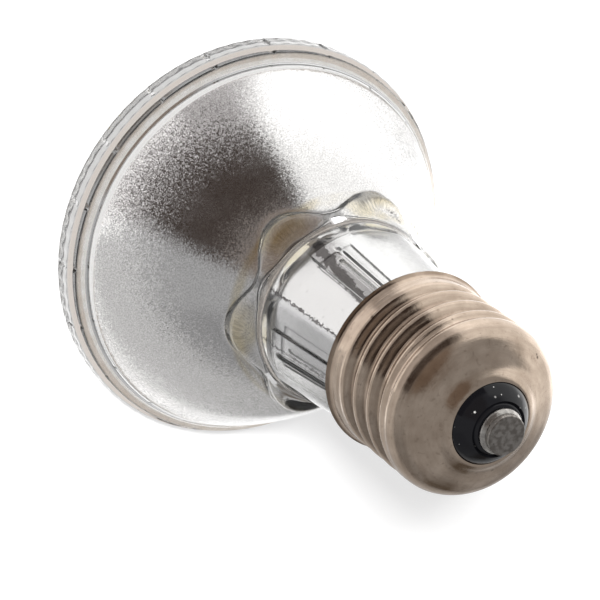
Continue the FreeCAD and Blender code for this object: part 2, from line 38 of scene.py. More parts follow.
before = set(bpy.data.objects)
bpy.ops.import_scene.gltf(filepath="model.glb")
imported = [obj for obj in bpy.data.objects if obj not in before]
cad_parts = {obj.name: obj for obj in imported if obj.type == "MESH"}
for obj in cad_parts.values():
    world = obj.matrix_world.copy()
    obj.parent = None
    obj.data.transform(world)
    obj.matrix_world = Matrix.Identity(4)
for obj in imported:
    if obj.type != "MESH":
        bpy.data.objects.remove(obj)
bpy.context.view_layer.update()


def span(node):
    """Radius, lowest and highest point of a turned CAD node."""
    low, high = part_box(node)
    return high.x / MM, low.z / MM, high.z / MM


# Sizes that the frame gives
lens_radius, _, lens_spigot_top = span("front_lens")
rim_radius, rim_base, neck_end = span("reflector_glass")
_, lens_edge_top, _ = span("lens_seal")
cap_lip_radius, _, hole_height = span("cap_shell")
contact_radius, _, _ = span("centre_contact")
solder_radius, solder_base, lamp_top = span("contact_solder")
_, insulator_base, insulator_top = span("cap_insulator")

# Air between pieces of glass that touch, and a radius as good as none
glass_gap = 0.02
on_axis = 0.001

# Front lens
lens_recess = 0.8
lens_plate_top = 3.0
lens_land_width = 3.0
lens_land_margin = 0.9
lens_corner = 0.5
lens_notch_share = 1.4
spigot_gap = 0.2
spigot_wall = 1.2
lenslet_pitch = 4.6
lenslet_radius = 2.2
lenslet_height = 0.5
lenslet_rings = 5
lenslet_reach = 26.0
edge_cells = 80
edge_cell_depth = 0.2
edge_cell_fade = 0.8
edge_skin = 0.6
edge_skin_soft = 0.5
land_cell_depth = 0.1

# Reflector
rim_top = 4.95
rim_corner = 0.3
mouth_radius = 28.46
mirror_focal_length = 6.87
glass_wall = 1.8
shoulder_length = 2.6
collar_radius = 16.2
collar_wave = 1.2
collar_waves = 6
collar_angle = -42.6
collar_height = 1.0
collar_edge = 1.5
collar_slope = 0.9
collar_foot = 1.0
collar_run = 1.2
coat_start = 5.7
# Rows of points on the cone's outside, on its coat, round the neck's end, and the uncoated ones at the mouth
cone_rows = 26
coat_rows = 34
end_rows = 9
clear_rows = 3

# Ragged bands of painted reflection on the coat inside the neck, as angles in half a turn. The painted dark
# patch moves round by its slant for each millimetre below its top.
painted_line_angle = 107.8
far_painted_line_angle = 140.0
band_end = 147.0
patch_from = 72.0
patch_to = 79.5
patch_top = 46.0
patch_slant = 0.6

# Marks of the mould
notch_count = 20
notch_angle = -50.6
notch_width = 0.55
notch_depth = 0.3
notch_foot = 1.6
notch_flank = 1.1

# Neck
neck_base = 30.36
neck_base_radius = 14.3
neck_taper = 0.117
neck_length = 27.2
neck_wall = 1.9
neck_end_wall = 1.5
neck_end_rows = [54.6, 56.0, 56.8]
throat_height = 28.56
bore_top = 56.0
pad_height = 0.7
pad_width_angle = 29.0
pad_side_angle = 1.0
pad_groove_angle = 5.0
pad_groove_depth = 0.35
pad_groove_start = 1.6
pad_groove_run = 1.2
pad_spread = 76.5
pad_pair_angle = -78.3
pad_start = 35.26
pad_end = 53.4
pad_corner = 0.4

# Screw cap
cap_rim = 50.5
cap_wall = 0.3
cap_lip = 1.1
crest_radius = 13.1
thread_depth = 0.95
thread_pitch = 3.629
thread_root_height = 58.0
thread_root_angle = 179.4
thread_start = 52.6
thread_fade_in = 2.6
thread_end = 66.6
thread_fade_out = 2.4
thread_reach = 1.6  # only points this near the crests are pressed
shoulder_base = 65.9
shoulder_radius = 4.2
shoulder_sweep = 62.0
hole_radius = 6.1
curl_radius = 1.0
lip_hollow = 0.22
lip_hollow_skew = 1.6

# Wire and solder at the cap's wall: pressed from this radius outwards, with this air, and how fine
press_from = 11.4
press_gap = 0.04
press_step = 0.35
press_rounds = 4

# Inductor
coil_wire = 0.5

# Insulator and contact
insulator_gap = 0.05
insulator_lap = 0.1
insulator_bore = 1.3
insulator_top_radius = 3.9
insulator_rim = 0.6
insulator_bow = 0.3
rivet_bore = 0.8
rivet_stem = 1.25
rivet_edge = 0.15
rivet_flange = 0.35
contact_gap = 0.05
solder_corner = 0.25
solder_unevenness = 0.008

mirror_apex = rim_top + mouth_radius ** 2 / (4 * mirror_focal_length)
collar_top = neck_base + collar_height
neck_foot = collar_top + collar_run
notch_half = math.degrees(notch_width / 2 / rim_radius)
notch_middles = [notch_angle + index * 360.0 / notch_count for index in range(notch_count)]
notch_shares = (-notch_foot, -1.0, -0.5, 0.0, 0.5, 1.0, notch_foot)
pad_middles = [pad_pair_angle + pair + side * pad_spread for pair in (0.0, 180.0) for side in (-0.5, 0.5)]


# Shapes

def ease(share):
    """Rises smoothly from 0 to 1, also over arrays."""
    share = np.clip(share, 0.0, 1.0)
    return share * share * (3 - 2 * share)


def near_angle(angle, middle):
    """How far an angle is from a middle, wrapped."""
    return (angle - middle + 180.0) % 360.0 - 180.0


def rounded(corners, radii, steps=7):
    """Points of a line through corners, each inner corner cut by an arc-like curve."""
    points = [corners[0]]
    for before, corner, after, radius in zip(corners, corners[1:], corners[2:], radii):
        corner = np.array(corner)
        back = np.array(before) - corner
        ahead = np.array(after) - corner
        back = back / np.linalg.norm(back)
        ahead = ahead / np.linalg.norm(ahead)
        for share in np.linspace(0.0, 1.0, steps):
            first = corner + back * radius * (1 - share)
            last = corner + ahead * radius * share
            points.append(tuple(first + (last - first) * share))
    points.append(corners[-1])
    return points


def arc(middle, radius, start, end, steps):
    """Half section points along an arc, its angles from the outward direction."""
    turns = np.radians(np.linspace(start, end, steps))
    return [(middle[0] + radius * math.cos(t), middle[1] + radius * math.sin(t)) for t in turns]


def line(first, last, steps):
    """Half section points along a straight line, without its first point."""
    return [(first[0] + (last[0] - first[0]) * k / steps, first[1] + (last[1] - first[1]) * k / steps)
            for k in range(1, steps + 1)]


def placed(name, data):
    """A new object in the scene."""
    piece = bpy.data.objects.new(name, data)
    bpy.context.scene.collection.objects.link(piece)
    return piece


def spread(section, angles):
    """Grids of radii, heights and angles with the same half section in every column."""
    radii, heights = (np.repeat([[point[k]] for point in section], len(angles), axis=1) for k in (0, 1))
    return radii, heights, np.broadcast_to(angles, radii.shape)


def smooth_piece(name, work, mesh, sharp):
    """The piece of a mesh that has been worked on, smooth but for its sharp edges."""
    work.to_mesh(mesh)
    work.free()
    mesh.shade_smooth()
    mesh.set_sharp_from_angle(angle=math.radians(sharp))
    return placed(name, mesh)


def grid_mesh(name, radii, heights, angles, closed, materials, row_material=None, sharp=40):
    """A turned piece from grids of radii and heights: rows are section points, columns are angles."""
    radii = radii * MM
    turns = np.radians(angles)
    rows, columns = radii.shape
    places = np.stack([radii * np.cos(turns), radii * np.sin(turns), heights * MM], axis=2).reshape(-1, 3)
    row_pairs = [(r, r + 1) for r in range(rows - 1)] + [(rows - 1, 0)] * closed
    faces = [(low * columns + c, low * columns + d, high * columns + d, high * columns + c)
             for low, high in row_pairs for c, d in zip(range(columns), [*range(1, columns), 0])]
    mesh = bpy.data.meshes.new(name)
    mesh.from_pydata(places.tolist(), [], faces)
    for material in materials:
        mesh.materials.append(material)
    if row_material is not None:
        face_rows = [low for low, _ in row_pairs for _ in range(columns)]
        mesh.polygons.foreach_set("material_index", [row_material[row] for row in face_rows])
    work = bmesh.new()
    work.from_mesh(mesh)
    bmesh.ops.remove_doubles(work, verts=work.verts, dist=1e-7)
    bmesh.ops.dissolve_degenerate(work, edges=work.edges, dist=1e-7)
    bmesh.ops.recalc_face_normals(work, faces=work.faces)
    return smooth_piece(name, work, mesh, sharp)


def turned(name, section, materials, closed=True, steps=180, sharp=40, change=None):
    """A turned piece from one half section; change may alter the radii by their angles."""
    radii, heights, angles = spread(section, np.arange(steps) * 360.0 / steps)
    if change:
        radii = change(radii, angles)
    return grid_mesh(name, radii, heights, angles[0], closed, materials, sharp=sharp)


def stands_for(piece, node):
    """The piece rides on the lamp and is shown in place of its CAD node."""
    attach(piece, "root")
    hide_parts(node)


def marked_angles(step, extra=(), closest=0.12):
    """Angles round the lamp, closer together at the mould's marks and at the extra places."""
    angles = list(np.arange(0.0, 360.0, step))
    for middle in notch_middles:
        angles += [middle + notch_half * share for share in notch_shares]
    for middle, reach, count in extra:
        angles += list(np.linspace(middle - reach, middle + reach, count))
    angles = sorted(round(a % 360.0, 3) for a in angles)
    kept = [angles[0]]
    for angle in angles[1:]:
        if angle - kept[-1] > closest:
            kept.append(angle)
    return np.array(kept)


def notch(angles):
    """How deep the mould's marks cut at each angle."""
    depth = np.zeros_like(angles)
    for middle in notch_middles:
        away = np.abs(near_angle(angles, middle)) / notch_half
        depth = np.maximum(depth, notch_depth * ease((notch_foot - away) / notch_flank))
    return depth


# Nodes; most of these helpers find their tree by the sockets that they are given

def set_inputs(node, values):
    """Sets a node's inputs by name or number, each to a value or to a link from another node."""
    for name, value in values.items():
        if isinstance(value, bpy.types.NodeSocket):
            node.id_data.links.new(value, node.inputs[name])
        else:
            node.inputs[name].default_value = value


def add(tree, kind, inputs=None, **settings):
    """A new node with its settings and its inputs."""
    node = tree.nodes.new(kind)
    for name, value in settings.items():
        setattr(node, name, value)
    set_inputs(node, inputs or {})
    return node


def maths(operation, *values):
    """A Math node between sockets and numbers."""
    tree = next(value.id_data for value in values if isinstance(value, bpy.types.NodeSocket))
    return add(tree, "ShaderNodeMath", dict(enumerate(values)), operation=operation).outputs["Value"]


def times(first, second):
    """Product of two sockets or numbers."""
    return maths("MULTIPLY", first, second)


def plus(first, second):
    """Sum of two sockets or numbers."""
    return maths("ADD", first, second)


def minus(first, second):
    """Difference of two sockets or numbers."""
    return maths("SUBTRACT", first, second)


def larger(first, second):
    """The larger of two sockets or numbers."""
    return maths("MAXIMUM", first, second)


def vectors(operation, first, second=None):
    """A Vector Math node between vectors, or a vector and a scale."""
    node = add(first.id_data, "ShaderNodeVectorMath", {0: first}, operation=operation)
    if second is not None:
        set_inputs(node, {"Scale" if operation == "SCALE" else 1: second})
    return node.outputs["Value" if operation == "LENGTH" else "Vector"]


def parts(place):
    """The three coordinates of a place."""
    return add(place.id_data, "ShaderNodeSeparateXYZ", {0: place}).outputs


def ramp(value, low, high, to_low=0.0, to_high=1.0):
    """Smooth step of a value from low to high, which may be sockets."""
    return add(value.id_data, "ShaderNodeMapRange", {
        "Value": value, "From Min": low, "From Max": high, "To Min": to_low, "To Max": to_high},
        interpolation_type="SMOOTHSTEP", clamp=True).outputs["Result"]


def between(value, low, high, soft):
    """Mask of the values between two limits, with soft edges."""
    return times(ramp(value, low - soft, low + soft), ramp(value, high - soft, high + soft, 1.0, 0.0))


def blend(share, first, second):
    """Colour between two colours by a share."""
    first, second = ((*colour, 1.0) if isinstance(colour, tuple) else colour for colour in (first, second))
    return add(share.id_data, "ShaderNodeMix", {0: share, 6: first, 7: second}, data_type="RGBA").outputs[2]


def shape_tree(name, labels, takes_mesh=True):
    """An empty geometry tree with named sizes; gives the tree, its sizes and its end."""
    tree = bpy.data.node_groups.new(name, "GeometryNodeTree")
    tree.interface.new_socket("Geometry", in_out="OUTPUT", socket_type="NodeSocketGeometry")
    if takes_mesh:
        tree.interface.new_socket("Geometry", in_out="INPUT", socket_type="NodeSocketGeometry")
    for label in labels:
        tree.interface.new_socket(label, in_out="INPUT", socket_type="NodeSocketFloat")
    return tree, tree.nodes.new("NodeGroupInput").outputs, tree.nodes.new("NodeGroupOutput")


def finish_tree(shape, material, end):
    """Ends a geometry tree: real geometry, in its finish."""
    real = add(shape.id_data, "GeometryNodeRealizeInstances", {0: shape})
    painted = add(shape.id_data, "GeometryNodeSetMaterial", {
        "Geometry": real.outputs[0], "Material": material})
    set_inputs(end, {0: painted.outputs[0]})


def shaped(piece, tree, sizes):
    """Gives the piece the plain mesh that a geometry tree makes at these sizes."""
    modifier = piece.modifiers.new(tree.name, "NODES")
    modifier.node_group = tree
    for socket in tree.interface.items_tree:
        if socket.in_out == "INPUT" and socket.name in sizes:
            modifier[socket.identifier] = float(sizes[socket.name])
    bpy.context.view_layer.update()
    mesh = bpy.data.meshes.new_from_object(piece.evaluated_get(bpy.context.evaluated_depsgraph_get()))
    piece.modifiers.remove(modifier)
    piece.data = mesh
    mesh.name = piece.name
    mesh.shade_smooth()


def thread_tree():
    """Presses a right-hand thread that fades at both ends into a turned skin; sizes in millimetres."""
    tree, size, end = shape_tree("rolled_thread", (
        "Skin Radius", "Depth", "Pitch", "Root Height", "Root Angle",
        "Start", "Full Start", "Full End", "End"))
    place = parts(add(tree, "GeometryNodeInputPosition").outputs[0])
    x, y = place["X"], place["Y"]
    height = maths("DIVIDE", place["Z"], MM)
    turn = maths("DIVIDE", maths("ARCTAN2", y, x), TURN)
    root = maths("DIVIDE", size["Root Angle"], 360.0)
    climb = maths("DIVIDE", minus(height, size["Root Height"]), size["Pitch"])
    phase = minus(climb, minus(turn, root))
    wave = times(plus(maths("COSINE", times(phase, TURN)), 1.0), 0.5)
    fade = times(ramp(height, size["Start"], size["Full Start"]), ramp(height, size["End"], size["Full End"]))
    reach = maths("SQRT", plus(times(x, x), times(y, y)))
    on_skin = maths("GREATER_THAN", maths("DIVIDE", reach, MM), minus(size["Skin Radius"], thread_reach))
    depth = times(times(size["Depth"], on_skin), times(wave, fade))
    share = maths("DIVIDE", times(depth, -MM), reach)
    inward = add(tree, "ShaderNodeCombineXYZ", {"X": times(x, share), "Y": times(y, share)})
    moved = add(tree, "GeometryNodeSetPosition", {"Geometry": size["Geometry"], "Offset": inward.outputs[0]})
    finish_tree(moved.outputs[0], cap_metal, end)
    return tree


def coil_tree(material):
    """One layer of wire wound on a drum that lies along +Y; sizes in metres."""
    tree, size, end = shape_tree(
        "wound_wire", ("Wire Radius", "Coil Radius", "Turns", "Length", "X", "Y", "Z"), takes_mesh=False)
    spiral = add(tree, "GeometryNodeCurveSpiral", {
        "Resolution": 28, "Reverse": False, "Rotations": size["Turns"], "Start Radius": size["Coil Radius"],
        "End Radius": size["Coil Radius"], "Height": size["Length"]})
    profile = add(tree, "GeometryNodeCurvePrimitiveCircle", {"Resolution": 10, "Radius": size["Wire Radius"]})
    wire = add(tree, "GeometryNodeCurveToMesh", {
        "Fill Caps": True, "Curve": spiral.outputs[0], "Profile Curve": profile.outputs["Curve"]})
    place = add(tree, "ShaderNodeCombineXYZ", {axis: size[axis] for axis in "XYZ"})
    laid = add(tree, "GeometryNodeTransform", {
        "Geometry": wire.outputs[0], "Translation": place.outputs[0], "Rotation": (-math.pi / 2, 0.0, 0.0)})
    finish_tree(laid.outputs[0], material, end)
    return tree


# Finishes

def effect(name, output, **sizes):
    """An empty shader group with a place and named sizes; gives its tree, its inputs and its end."""
    group = bpy.data.node_groups.new(name, "ShaderNodeTree")
    group.interface.new_socket("Place", in_out="INPUT", socket_type="NodeSocketVector")
    for label, value in sizes.items():
        socket = group.interface.new_socket(label, in_out="INPUT", socket_type="NodeSocketFloat")
        socket.default_value = value
    group.interface.new_socket(output, in_out="OUTPUT", socket_type="NodeSocketFloat")
    return group, group.nodes.new("NodeGroupInput").outputs, group.nodes.new("NodeGroupOutput")


def mottle_group():
    """Soft clouds from 0 to 1, for the uneven tone and gloss of every finish."""
    group, given, end = effect("soft_mottle", "Cloud", Scale=500.0, Detail=3.0, Low=0.35, High=0.65)
    cloud = add(group, "ShaderNodeTexNoise", {
        "Vector": given["Place"], "Scale": given["Scale"], "Detail": given["Detail"]})
    set_inputs(end, {"Cloud": ramp(cloud.outputs["Fac"], given["Low"], given["High"])})
    return group


def speck_group():
    """Scattered round specks: dust, pits and grime, sparse or dense by their share."""
    group, given, end = effect("scattered_specks", "Specks", Scale=600.0, Share=0.05, Size=0.2)
    cells = add(group, "ShaderNodeTexVoronoi", {"Vector": given["Place"], "Scale": given["Scale"]})
    pick = add(group, "ShaderNodeSeparateColor", {"Color": cells.outputs["Color"]})
    chosen = maths("LESS_THAN", pick.outputs["Red"], given["Share"])
    inside = ramp(cells.outputs["Distance"], 0.0, times(pick.outputs["Green"], given["Size"]), 1.0, 0.0)
    set_inputs(end, {"Specks": times(inside, chosen)})
    return group


def streak_group():
    """Fine streaks that run round the lamp, as turning, rolling and wiping leave them."""
    group, given, end = effect("streaks_round_axis", "Streaks", Across=2500.0, Along=1.5)
    place = parts(given["Place"])
    turn = maths("ARCTAN2", place["Y"], place["X"])
    around = add(group, "ShaderNodeCombineXYZ", {
        "X": times(maths("SINE", turn), given["Along"]), "Y": times(maths("COSINE", turn), given["Along"]),
        "Z": times(place["Z"], given["Across"])})
    lines = add(group, "ShaderNodeTexNoise", {
        "Vector": around.outputs[0], "Scale": 1.0, "Detail": 4.0, "Roughness": 0.6})
    set_inputs(end, {"Streaks": ramp(lines.outputs["Fac"], 0.3, 0.7)})
    return group


soft_mottle = mottle_group()
streaks_round = streak_group()
scattered_specks = speck_group()


def use_group(group, place, **values):
    """A group placed in a material with its own values; gives its only output."""
    return add(place.id_data, "ShaderNodeGroup", {"Place": place, **values}, node_tree=group).outputs[0]


def mottle(place, scale, detail=3.0, low=0.35, high=0.65):
    """Soft clouds on a material."""
    return use_group(soft_mottle, place, Scale=scale, Detail=detail, Low=low, High=high)


def specks(place, scale, share, size):
    """Scattered specks on a material."""
    return use_group(scattered_specks, place, Scale=scale, Share=share, Size=size)


def streaks(place, across, along):
    """Streaks round the lamp on a material."""
    return use_group(streaks_round, place, Across=across, Along=along)


def noise(place, scale, detail, roughness=0.55):
    """Noise over the piece's own coordinates, as wide as 1 / scale metres."""
    return add(place.id_data, "ShaderNodeTexNoise", {
        "Vector": place, "Scale": scale, "Detail": detail, "Roughness": roughness}).outputs["Fac"]


def ragged(place, scale, detail, roughness, width):
    """Noise about nought, as wide as given."""
    return times(minus(noise(place, scale, detail, roughness), 0.5), width)


def turn_nodes(place):
    """Angle round the lamp, from a piece's own coordinates."""
    place = parts(place)
    return times(maths("ARCTAN2", place["Y"], place["X"]), DEGREE)


def height_nodes(place):
    """Height in millimetres, from a piece's own coordinates."""
    return times(parts(place)["Z"], 1.0 / MM)


def reach_nodes(place):
    """Distance from the lamp's axis in millimetres, from a piece's own coordinates."""
    return vectors("LENGTH", vectors("MULTIPLY", place, (1.0 / MM, 1.0 / MM, 0.0)))


def bump(shader, height, strength, distance):
    """Fine relief on a shader, as deep as the distance in metres."""
    relief = add(shader.id_data, "ShaderNodeBump", {
        "Height": height, "Strength": strength, "Distance": distance})
    set_inputs(shader, {"Normal": relief.outputs["Normal"]})


def glitter(shader, place, scale, tilt):
    """Tiny facets, each tilted its own way, which make a coat glitter."""
    cells = add(shader.id_data, "ShaderNodeTexVoronoi", {"Vector": place, "Scale": scale})
    lean = vectors("SCALE", vectors("SUBTRACT", cells.outputs["Color"], (0.5, 0.5, 0.5)), tilt)
    square = add(shader.id_data, "ShaderNodeNewGeometry").outputs["Normal"]
    set_inputs(shader, {"Normal": vectors("NORMALIZE", vectors("ADD", square, lean))})


def finish(name, values):
    """A new material; gives it, its shader with these values, and the piece's own coordinates."""
    material = bpy.data.materials.new(name)
    material.use_nodes = True
    shader = material.node_tree.nodes["Principled BSDF"]
    set_inputs(shader, values)
    return material, shader, add(material.node_tree, "ShaderNodeTexCoord").outputs["Object"]


def clear_glass():
    """Pressed clear glass with faint waves, straw-coloured where the collar is thick, with painted grey shade
    at the outer edges of lens and rim.
    """
    material, shader, place = finish("pressed_clear_glass", {
        "Roughness": 0.0, "IOR": 1.5, "Transmission Weight": 1.0})
    clear, straw = (0.975, 0.972, 0.965), (0.80, 0.69, 0.44)
    stain, dark = (0.62, 0.53, 0.46), (0.48, 0.48, 0.475)
    height, reach = height_nodes(place), reach_nodes(place)
    at_collar = times(between(height, throat_height - 1.6, collar_top, 0.4),
                      ramp(reach, collar_radius - 0.6, collar_radius + 0.6, 0.03, 1.0))
    tone = blend(times(at_collar, mottle(place, 160.0, 2.0, 0.2, 0.6)), clear, straw)
    at_joint = times(between(height, lens_edge_top - 0.2, lens_edge_top + 0.1, 0.06),
                     ramp(reach, rim_radius - 2.0, rim_radius - 1.6))
    tone = blend(at_joint, tone, stain)
    # Painted shade: the outer edges of lens and rim are tinted grey, so that they show as dark outlines.
    lens_edge_shade = ramp(reach, lens_radius - 0.35, lens_radius - 0.1)
    rim_edge_shade = times(ramp(reach, rim_radius - 0.4, rim_radius - 0.1),
                     ramp(height, rim_base - 0.1, rim_base + 0.1))
    tone = blend(larger(lens_edge_shade, rim_edge_shade), tone, dark)
    set_inputs(shader, {"Base Color": tone, "Roughness": ramp(mottle(place, 900.0), 0.0, 1.0, 0.0, 0.03)})
    bump(shader, mottle(place, 90.0, 0.0, 0.0, 1.0), 0.05, 0.0004)
    return material


def neck_painted_reflections(place, height):
    """Painted reflections on the coat inside the neck: bright and grey bands, ragged dark lines and a dark
    patch, the same on both sides, with dust specks.
    """
    # Painted reflection: the bright and grey bands, the dark patch and the dark lines stand for the studio
    # seen in the coat; the dusty specks are dust.
    bright, grey, dusty = (0.76, 0.76, 0.755), (0.58, 0.58, 0.585), (0.45, 0.45, 0.44)
    painted_dark_patch, painted_dark_line, far_painted_dark_line = (0.22, 0.21, 0.205), (0.08, 0.07, 0.07), (0.14, 0.13, 0.13)
    half_turn = maths("MODULO", plus(turn_nodes(place), 360.0), 180.0)
    slant = times(minus(patch_top, height), patch_slant)
    wavy = plus(plus(half_turn, slant), ragged(place, 900.0, 4.0, 0.7, 12.0))
    jagged = plus(half_turn, ragged(place, 2600.0, 2.0, 0.6, 7.0))
    shade = blend(between(jagged, painted_line_angle, band_end, 1.0), bright, grey)
    shade = blend(between(wavy, patch_from, patch_to, 0.4), shade, painted_dark_patch)
    shade = blend(between(jagged, painted_line_angle - 0.9, painted_line_angle + 0.9, 0.4), shade, painted_dark_line)
    shade = blend(between(jagged, far_painted_line_angle - 0.6, far_painted_line_angle + 0.6, 0.4), shade, far_painted_dark_line)
    return blend(times(specks(place, 1300.0, 0.35, 0.45), 0.35), shade, dusty)


def mirror_coat():
    """Aluminium coat behind the glass, seen through it, finely stippled, with painted reflections inside the
    neck.
    """
    material, shader, place = finish("mirror_coat", {"Metallic": 1.0})
    low, high, wiped = (0.70, 0.69, 0.685), (0.93, 0.925, 0.92), (0.62, 0.61, 0.61)
    height = height_nodes(place)
    cone = blend(mottle(place, 5200.0, 1.0, 0.3, 0.7), low, high)
    cone = blend(times(streaks(place, 1500.0, 6.0), 0.12), cone, wiped)
    on_neck = ramp(height, neck_base - 0.5, neck_base + 0.5)
    set_inputs(shader, {
        "Base Color": blend(on_neck, cone, neck_painted_reflections(place, height)),
        "Roughness": ramp(mottle(place, 240.0), 0.0, 1.0, 0.12, 0.15)})
    glitter(shader, place, 6800.0, ramp(on_neck, 0.0, 1.0, 0.07, 0.02))
    return material


def nickel():
    """Warm nickel plate on the rolled cap, with clouds of tarnish, small specks, and painted shade in the
    grooves and at the lip.
    """
    material, shader, place = finish("warm_nickel_plate", {"Metallic": 1.0})
    low, high, dull = (0.45, 0.36, 0.284), (0.625, 0.512, 0.415), (0.36, 0.27, 0.205)
    pitted, tarnished, groove_shade_tone = (0.10, 0.07, 0.05), (0.25, 0.18, 0.13), (0.20, 0.14, 0.10)
    wiped = streaks(place, 2200.0, 2.2)
    tone = blend(mottle(place, 330.0, 5.0, 0.25, 0.75), low, high)
    tone = blend(times(wiped, 0.4), tone, dull)
    tone = blend(specks(place, 620.0, 0.25, 0.24), tone, pitted)
    tone = blend(times(mottle(place, 1400.0, 3.0, 0.58, 0.72), 0.35), tone, tarnished)
    height = height_nodes(place)
    # Painted shade: darker brown in the thread's grooves and at the lip.
    in_groove = times(ramp(reach_nodes(place), crest_radius - thread_depth, crest_radius - 0.35, 1.0, 0.0),
                      ramp(height, shoulder_base - 0.6, shoulder_base + 0.2, 1.0, 0.0))
    at_lip = ramp(height, cap_rim + 0.1, cap_rim + 0.9, 1.0, 0.0)
    groove_shade = times(larger(in_groove, at_lip), mottle(place, 260.0, 4.0, 0.2, 0.6))
    rough = plus(times(mottle(place, 420.0, 5.0), 0.5), times(wiped, 0.5))
    set_inputs(shader, {
        "Base Color": blend(times(groove_shade, 0.55), tone, groove_shade_tone), "Roughness": ramp(rough, 0.0, 1.0, 0.10, 0.26)})
    bump(shader, plus(noise(place, 700.0, 4.0, 0.6), times(wiped, 0.3)), 0.12, 0.0002)
    return material


def black_glass():
    """Glossy black glass of the insulator, with dust on it."""
    material, shader, place = finish("black_glass", {"IOR": 1.36})
    black, dusty = (0.004, 0.004, 0.005), (0.55, 0.54, 0.52)
    dust = specks(place, 900.0, 0.5, 0.3)
    film = ramp(mottle(place, 800.0, 4.0), 0.0, 1.0, 0.04, 0.12)
    set_inputs(shader, {"Base Color": blend(dust, black, dusty), "Roughness": larger(film, dust)})
    bump(shader, mottle(place, 350.0, 2.0), 0.1, 0.0002)
    return material


def soft_solder():
    """Mottled grey solder, darker on the button's face."""
    material, shader, place = finish("soft_solder", {"Metallic": 1.0})
    cloud = mottle(place, 1500.0, 5.0)
    side = blend(cloud, (0.36, 0.345, 0.325), (0.52, 0.50, 0.47))
    face = blend(cloud, (0.17, 0.155, 0.14), (0.30, 0.28, 0.26))
    tone = blend(ramp(height_nodes(place), lamp_top - 0.25, lamp_top - 0.05), side, face)
    tone = blend(specks(place, 1100.0, 0.3, 0.25), tone, (0.09, 0.08, 0.07))
    set_inputs(shader, {"Base Color": tone, "Roughness": ramp(cloud, 0.0, 1.0, 0.42, 0.3)})
    bump(shader, cloud, 0.2, 0.0001)
    return material


def lamp_cement():
    """Grey grainy cement."""
    material, shader, place = finish("lamp_cement", {"Roughness": 0.9})
    grit = mottle(place, 1600.0, 5.0)
    set_inputs(shader, {"Base Color": blend(grit, (0.16, 0.15, 0.14), (0.52, 0.50, 0.47))})
    bump(shader, grit, 0.6, 0.0003)
    return material


def clear_cement():
    """Clear cement, slightly brown in places."""
    material, shader, place = finish("clear_cement", {
        "Roughness": 0.18, "IOR": 1.45, "Transmission Weight": 1.0})
    cloud = ramp(noise(place, 500.0, 3.0), 0.35, 0.65)
    set_inputs(shader, {"Base Color": blend(cloud, (0.93, 0.90, 0.86), (1.0, 0.99, 0.975))})
    return material


def plain_finish(name, colour, roughness, metallic=0.0):
    """A plain finish with slight variation of tone, gloss and relief."""
    material, shader, place = finish(name, {"Metallic": metallic})
    cloud = mottle(place, 900.0)
    darker = tuple(c * 0.86 for c in colour)
    set_inputs(shader, {
        "Base Color": blend(cloud, darker, colour),
        "Roughness": ramp(cloud, 0.0, 1.0, roughness * 0.85, roughness * 1.15)})
    bump(shader, cloud, 0.08, 0.0002)
    return material


glass = clear_glass()
coat = mirror_coat()
cap_metal = nickel()
insulator_glass = black_glass()
solder = soft_solder()
cement = lamp_cement()

# Finishes of the CAD nodes behind the lens and in the neck: name, colour, roughness and, for metal, 1
inner_finishes = {
    "heat_spreader": ("spreader_aluminium", (0.72, 0.72, 0.73), 0.35, 1.0),
    "led_board": ("white_board", (0.86, 0.86, 0.84), 0.45),
    "led_emitter": ("yellow_phosphor", (0.90, 0.66, 0.10), 0.5),
    "led_holder": ("white_plastic", (0.85, 0.85, 0.84), 0.4),
    "led_screws": ("zinc_steel", (0.62, 0.62, 0.63), 0.3, 1.0),
    "driver_sleeve": ("sleeve_plastic", (0.82, 0.82, 0.80), 0.5),
    "driver_board": ("green_board", (0.05, 0.20, 0.09), 0.4),
    "bulk_capacitor": ("dark_shrink_sleeve", (0.03, 0.03, 0.045), 0.3),
    "filter_capacitor": ("red_resin", (0.50, 0.08, 0.04), 0.3),
    "fuse_resistor": ("green_enamel", (0.10, 0.26, 0.14), 0.4),
    "bridge_rectifier": ("black_resin", (0.03, 0.03, 0.032), 0.5),
    "driver_chip": ("black_resin_fine", (0.028, 0.028, 0.03), 0.45),
    "inductor_core": ("ferrite", (0.07, 0.07, 0.075), 0.6),
    "led_lead_plus": ("red_wire_cover", (0.50, 0.03, 0.02), 0.4),
    "led_lead_minus": ("black_wire_cover", (0.02, 0.02, 0.02), 0.4),
    "contact_lead": ("tinned_wire_fine", (0.68, 0.67, 0.64), 0.3, 1.0),
}


# Pieces

def neck_radius(height):
    """Outer radius of the tapered neck."""
    return neck_base_radius - neck_taper * (height - neck_base)


def neck_bore(height):
    """Inner radius of the neck."""
    share = (height - neck_base) / neck_length
    return neck_radius(height) - neck_wall + (neck_wall - neck_end_wall) * share


def glass_point(height, wall):
    """A point of the cone's wall, measured square to the paraboloid."""
    radius = math.sqrt(4 * mirror_focal_length * (mirror_apex - height))
    slope = 2 * mirror_focal_length / radius
    size = math.hypot(1, slope)
    return radius + wall / size, height + wall * slope / size


def lens_section():
    """Half section of the lens from its middle underneath, round its edge and back along its inner face."""
    land_inner = lens_radius - lens_land_width
    spigot_outer = mouth_radius - spigot_gap
    spigot_inner = spigot_outer - spigot_wall
    edge_top = lens_edge_top - glass_gap
    edge = rounded(
        [(land_inner - lens_recess, lens_recess), (land_inner, 0), (land_inner + lens_land_margin, 0),
         (lens_radius - lens_land_margin, 0), (lens_radius, 0), (lens_radius, edge_top),
         (spigot_outer, edge_top), (spigot_outer, lens_spigot_top), (spigot_inner, lens_spigot_top),
         (spigot_inner - (lens_spigot_top - lens_plate_top), lens_plate_top)],
        [0.4, 0.3, 0.3, lens_corner, lens_corner, 0.15, 0.2, 0.2])
    under = line((on_axis, lens_recess), edge[0], 12)
    over = line(edge[-1], (on_axis, lens_plate_top), 52)
    return [(on_axis, lens_recess)] + under + edge[1:] + over


